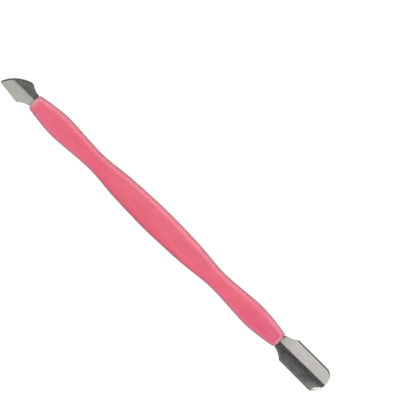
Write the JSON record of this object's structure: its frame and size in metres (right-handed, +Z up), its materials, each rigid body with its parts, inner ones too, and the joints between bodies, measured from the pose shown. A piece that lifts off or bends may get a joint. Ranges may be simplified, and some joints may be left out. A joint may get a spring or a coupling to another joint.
{
  "type": "cuticle pusher",
  "caption": "Double-ended cuticle pusher: wavy moulded plastic handle, folded steel spoon pusher at one end and a curved-edge nail knife at the other.",
  "frame": {"origin": "centre of the handle's flat underside, at the middle of the handle's length", "axes": "+X along the handle towards the pusher, +Y across the handle, +Z up out of the handle's flat top"},
  "size_m": [0.1352, 0.0089, 0.005],
  "materials": {
    "pink_plastic": "satin moulded plastic",
    "folded_steel": "tumbled stainless sheet with darker cut edges",
    "cured_adhesive": "clear brown cured adhesive"
  },
  "bodies": {
    "root": {"handle": "pink_plastic", "pusher_head": "folded_steel", "knife_head": "folded_steel", "pusher_adhesive": "cured_adhesive", "knife_adhesive": "cured_adhesive"}
  },
  "joints": []
}
